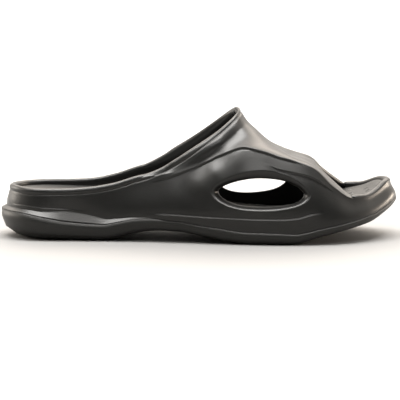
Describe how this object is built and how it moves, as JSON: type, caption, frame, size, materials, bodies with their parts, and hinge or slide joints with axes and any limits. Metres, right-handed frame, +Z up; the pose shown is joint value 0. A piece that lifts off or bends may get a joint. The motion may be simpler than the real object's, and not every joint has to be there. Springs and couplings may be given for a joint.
{
  "type": "pool shoe",
  "caption": "Backless moulded foam pool slide for the right foot: tread sole, hollow body with closed strap, side holes and open toe, and a dished footbed.",
  "frame": {"origin": "on the floor under the middle of the shoe's length and width", "axes": "+X from heel to toe, +Z up, the outer side of the foot at -Y"},
  "size_m": [0.29, 0.1093, 0.0936],
  "materials": {
    "tread": "satin black foam, lightly worn",
    "body": "satin black moulded foam",
    "footbed": "matt black foam, finely stippled"
  },
  "bodies": {
    "root": {"tread_sole": "tread", "moulded_body": "body", "footbed": "footbed"}
  },
  "joints": []
}
